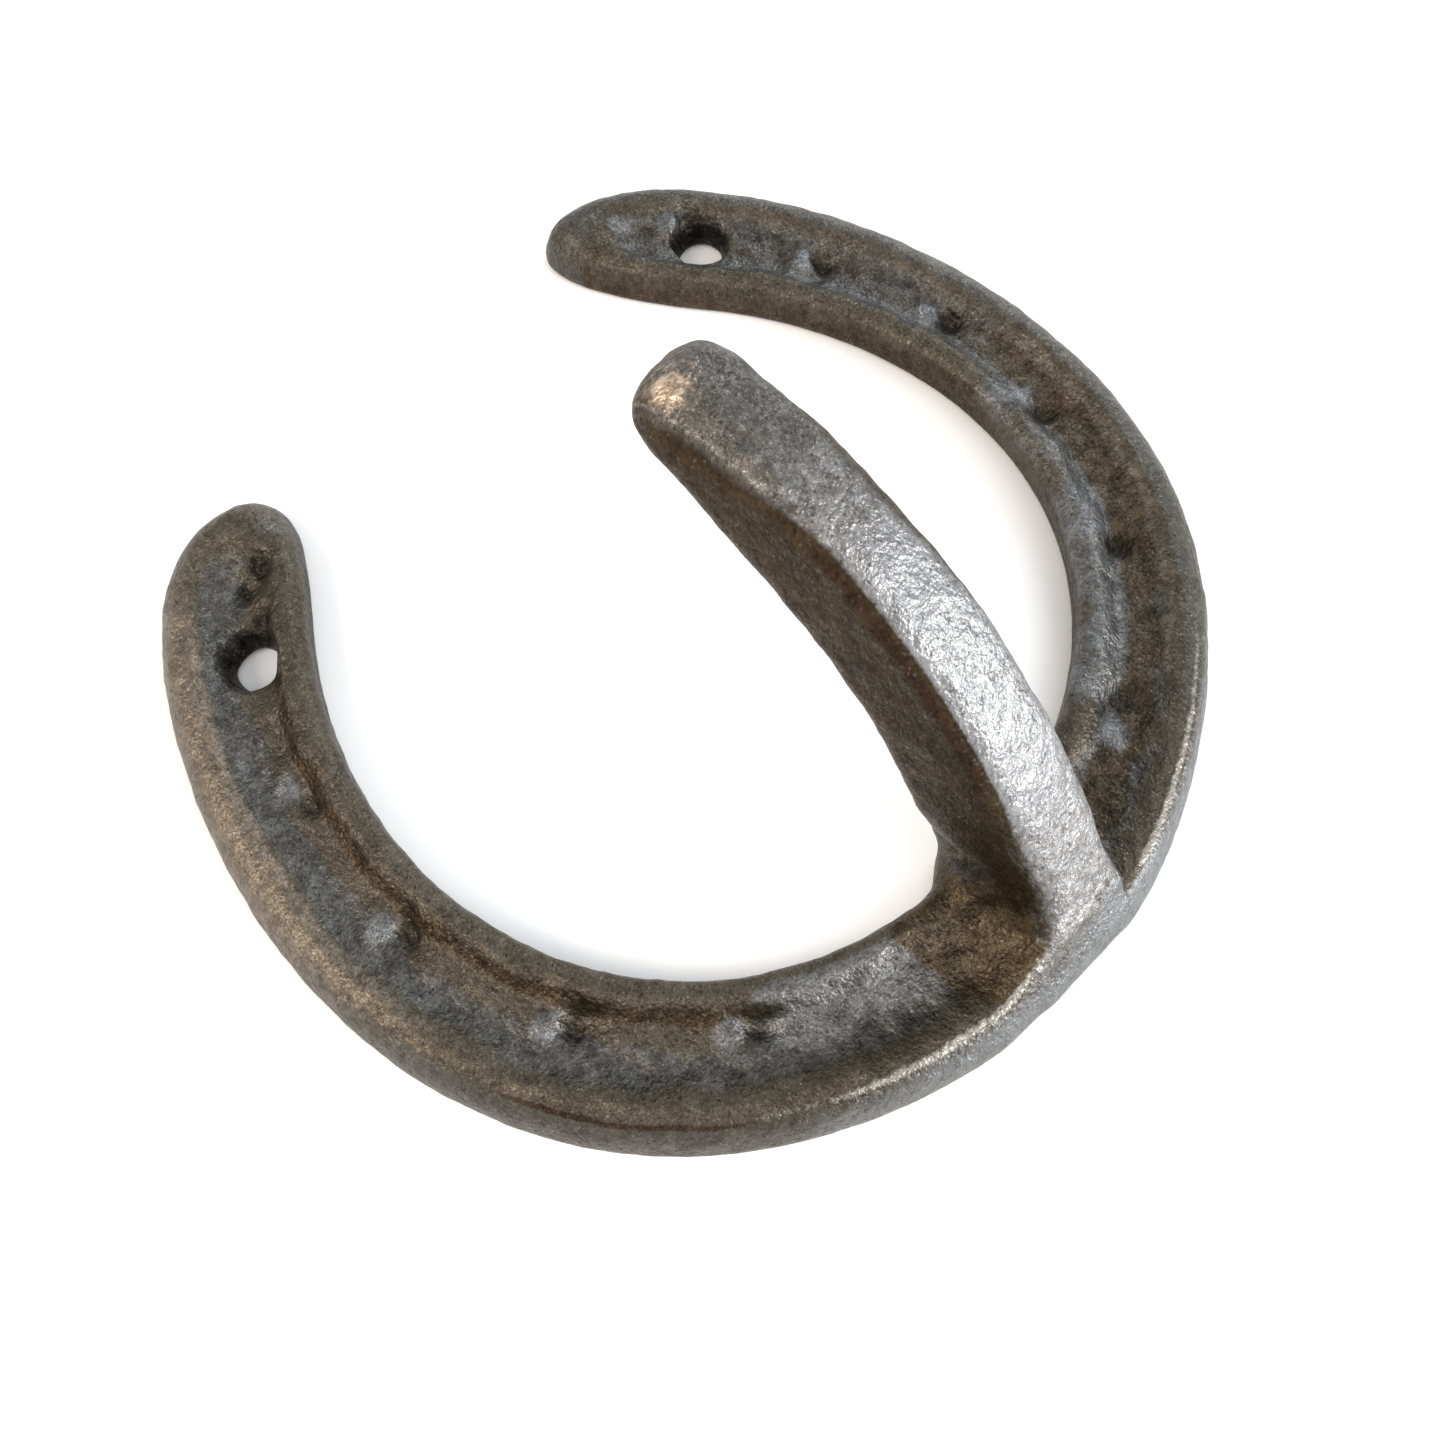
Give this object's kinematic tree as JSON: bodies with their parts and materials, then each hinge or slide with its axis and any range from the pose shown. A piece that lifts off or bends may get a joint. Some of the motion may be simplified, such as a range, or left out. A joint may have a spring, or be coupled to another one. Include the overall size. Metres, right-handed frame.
{
  "type": "horseshoe wall hook",
  "caption": "Flat-backed cast-iron horseshoe with a channel, two screw holes near the heels and a tapered hook that rises from the toe and leans over the open middle.",
  "frame": {"origin": "middle of the footprint, on the flat back that lies against the wall", "axes": "+X across the shoe, +Y from the toe to the open heels, +Z out of the wall towards the tip of the hook"},
  "size_m": [0.0974, 0.0922, 0.0416],
  "materials": {
    "shoe_iron": "raw sand-cast grey iron with brown staining in the channel",
    "hook_iron": "raw sand-cast grey iron, bright grain"
  },
  "bodies": {
    "root": {"horseshoe": "shoe_iron", "hook": "hook_iron"}
  },
  "joints": []
}
